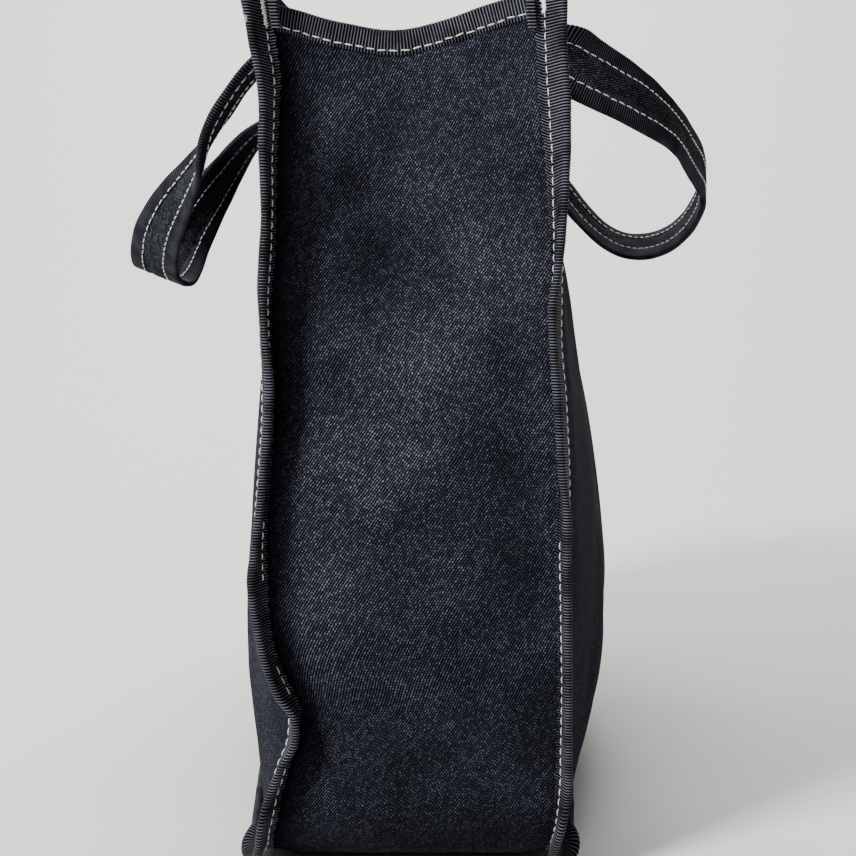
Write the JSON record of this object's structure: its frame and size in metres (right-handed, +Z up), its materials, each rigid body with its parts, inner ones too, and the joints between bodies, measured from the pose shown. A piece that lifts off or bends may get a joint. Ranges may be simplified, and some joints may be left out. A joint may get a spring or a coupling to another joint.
{
  "type": "tote bag",
  "caption": "Open-topped denim tote bag with turned-out seams and a mouth bound in ribbed tape, and two flat strap handles that swing on their sewn ends.",
  "frame": {"origin": "the middle of the base, on the surface that the bag stands on", "axes": "+X across the bag to its right panel, +Y along the bag to its far gusset, +Z up"},
  "size_m": [0.3069, 0.3998, 0.3603],
  "materials": {
    "indigo_denim": "raw dark indigo twill, matt, with pale flecks along the twill lines",
    "navy_grosgrain": "navy ribbed tape with a soft sheen, ribs across the tape",
    "white_thread": "white polyester sewing thread"
  },
  "bodies": {
    "root": {"gusset_strip": "indigo_denim", "panel_left": "indigo_denim", "panel_right": "indigo_denim", "strap_end_left_near": "indigo_denim", "strap_end_left_far": "indigo_denim", "strap_end_right_near": "indigo_denim", "strap_end_right_far": "indigo_denim", "seam_binding_left": "navy_grosgrain", "seam_binding_right": "navy_grosgrain", "mouth_binding_near": "navy_grosgrain", "mouth_binding_far": "navy_grosgrain", "mouth_binding_left": "navy_grosgrain", "mouth_binding_right": "navy_grosgrain", "strap_end_left_near_tape_outer": "navy_grosgrain", "strap_end_left_near_tape_inner": "navy_grosgrain", "strap_end_left_far_tape_outer": "navy_grosgrain", "strap_end_left_far_tape_inner": "navy_grosgrain", "strap_end_right_near_tape_outer": "navy_grosgrain", "strap_end_right_near_tape_inner": "navy_grosgrain", "strap_end_right_far_tape_outer": "navy_grosgrain", "strap_end_right_far_tape_inner": "navy_grosgrain", "bar_tack_near_left": "white_thread", "bar_tack_near_right": "white_thread", "bar_tack_far_left": "white_thread", "bar_tack_far_right": "white_thread"},
    "handle_left_body": {"handle_left": "indigo_denim", "handle_left_tape_outer": "navy_grosgrain", "handle_left_tape_inner": "navy_grosgrain"},
    "handle_right_body": {"handle_right": "indigo_denim", "handle_right_tape_outer": "navy_grosgrain", "handle_right_tape_inner": "navy_grosgrain"}
  },
  "joints": [
    {"name": "handle_left_swing", "type": "hinge", "parent": "root", "child": "handle_left_body", "pos_m": [-0.0515, 0, 0.355], "axis": [0, 1, 0], "range_deg": [0, 135]},
    {"name": "handle_right_swing", "type": "hinge", "parent": "root", "child": "handle_right_body", "pos_m": [0.0515, 0, 0.355], "axis": [0, -1, 0], "range_deg": [0, 120]}
  ]
}
